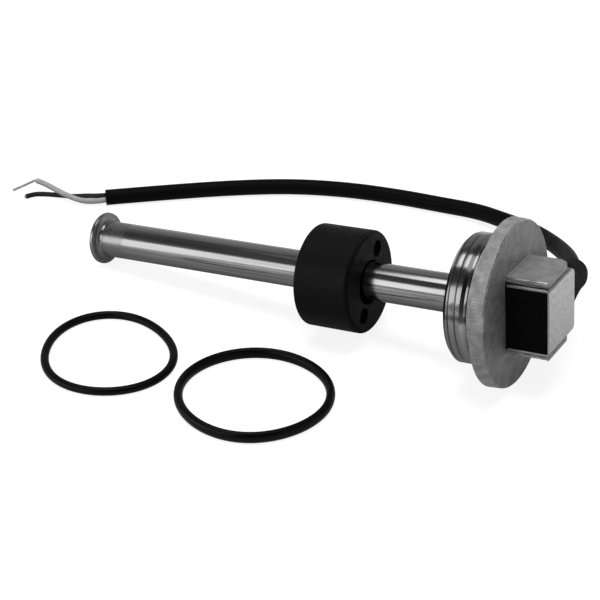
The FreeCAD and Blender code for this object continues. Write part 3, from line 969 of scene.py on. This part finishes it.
def mixed(material, share, first, second):
    """Shader that goes from a first to a second one by a share."""
    made = node(material, "ShaderNodeMixShader")
    join(material, share, made.inputs["Fac"])
    join(material, first, made.inputs[1])
    join(material, second, made.inputs[2])
    return made.outputs["Shader"]


pale_table = bpy.data.materials.new("pale_table")
pale_table.use_nodes = True
pale_table.node_tree.nodes.remove(shader_of(pale_table))
paint = node(pale_table, "ShaderNodeBsdfDiffuse", Color=(*grey(table_paint), 1.0)).outputs["BSDF"]
glow = node(pale_table, "ShaderNodeEmission", Strength=table_glow).outputs["Emission"]
white_top = node(pale_table, "ShaderNodeAddShader")
join(pale_table, paint, white_top.inputs[0])
join(pale_table, glow, white_top.inputs[1])
# The table glows only for glossy rays: a painted reflection with painted shade.
painted_reflection = node(pale_table, "ShaderNodeEmission")
join(pale_table, painted_reflection_tone(pale_table), painted_reflection.inputs["Strength"])

seen = mixed(pale_table, seen_straight(pale_table), paint, white_top.outputs["Shader"])
glossy = node(pale_table, "ShaderNodeLightPath").outputs["Is Glossy Ray"]
table_look = mixed(pale_table, glossy, seen, painted_reflection.outputs["Emission"])
join(pale_table, table_look, pale_table.node_tree.nodes["Material Output"].inputs["Surface"])
floor.data.materials.append(pale_table)
print("table nodes:", len(pale_table.node_tree.nodes))

# %% [markdown]
# ## The room
# The room is what polished steel mirrors where no lamp is. Its walls are grey and get darker up to a dark
# ceiling, which gives the tube the dark line beside its bright one. The ceiling leans a little to the near
# side, and the room behind the camera is darker still. Camera rays, and rays through glass, see plain
# white.

# %% World
room_tones = [(0.0, 0.28), (0.37, 0.22), (0.60, 0.18), (0.71, 0.045)]
ceiling_tilt = math.radians(8.5)
room_dark = 0.2
room_dark_start = math.radians(36)
room_dark_full = math.radians(28)
world = bpy.data.worlds.new("studio")
world.use_nodes = True
bpy.context.scene.world = world


def facing(direction, axis):
    """How far a direction points along an axis."""
    made = node(world, "ShaderNodeVectorMath")
    made.operation = "DOT_PRODUCT"
    made.inputs[1].default_value = axis
    join(world, direction, made.inputs[0])
    return made.outputs["Value"]


outlook = node(world, "ShaderNodeTexCoord").outputs["Generated"]
ceiling_up = (0.0, -math.sin(ceiling_tilt), math.cos(ceiling_tilt))
to_camera = (camera.location - seat_centre).normalized()
walls = tone_ramp(world, facing(outlook, ceiling_up), room_tones)
behind = graded(world, facing(outlook, to_camera), math.cos(room_dark_start), math.cos(room_dark_full),
                1.0, room_dark)
room = world.node_tree.nodes["Background"]
join(world, worked(world, "MULTIPLY", walls, behind), room.inputs["Color"])
white = node(world, "ShaderNodeBackground", Color=(*grey(1.0), 1.0), Strength=1.0)
world_look = mixed(world, seen_straight(world), room.outputs["Background"], white.outputs["Background"])
join(world, world_look, world.node_tree.nodes["World Output"].inputs["Surface"])
print("world nodes:", len(world.node_tree.nodes))

# %% [markdown]
# ## The lamps
# One long softbox stands low on the left, rolled so that its mirror image lies along the tube: that is the
# tube's bright line. A broad lamp overhead gives shape to the casting and a soft shadow, but it would drown
# the thread, so it isn't seen in reflections. Two dimmer lamps are seen there in its place, one over the
# stem and one over the head, which put the bright spots on the crests. A lamp's power is set from how
# bright it looks in a mirror.

# %% Lamps
def softbox(name, target, offset, width, tall, radiance, roll=0.0, in_reflections=True):
    """Rectangular lamp at an offset from a target, facing it, with a brightness as seen in a mirror."""
    lamp = bpy.data.lights.new(name, "AREA")
    lamp.shape = "RECTANGLE"
    lamp.size = width
    lamp.size_y = tall
    lamp.energy = radiance * math.pi * width * tall
    lamp_object = bpy.data.objects.new(name, lamp)
    facing_target = (-Vector(offset)).to_track_quat("-Z", "Y")
    lamp_object.location = target + Vector(offset)
    lamp_object.rotation_euler = (facing_target @ Quaternion((0, 0, 1), roll)).to_euler()
    lamp_object.visible_glossy = in_reflections
    bpy.context.scene.collection.objects.link(lamp_object)
    print("lamp:", name, "power in W:", round(lamp.energy, 2))


seat_to_stem_middle = 80 * mm
key_roll = math.radians(35)
stem_middle = seat_centre - stem_axis * seat_to_stem_middle
softbox("key", stem_middle, offset=(-0.36, -0.50, 0.205), width=1.00, tall=0.33, radiance=0.95, roll=key_roll)
softbox("overhead", seat_centre, offset=(0.0, 0.0, 1.2), width=0.7, tall=0.7, radiance=4.0,
        in_reflections=False)
softbox("over_stem", seat_centre, offset=(-0.395, 0.04, 1.2), width=0.54, tall=0.65, radiance=1.6)
softbox("over_head", seat_centre, offset=(0.2, 0.0, 1.2), width=0.6, tall=0.42, radiance=0.6)
bpy.context.scene.view_settings.view_transform = "Standard"
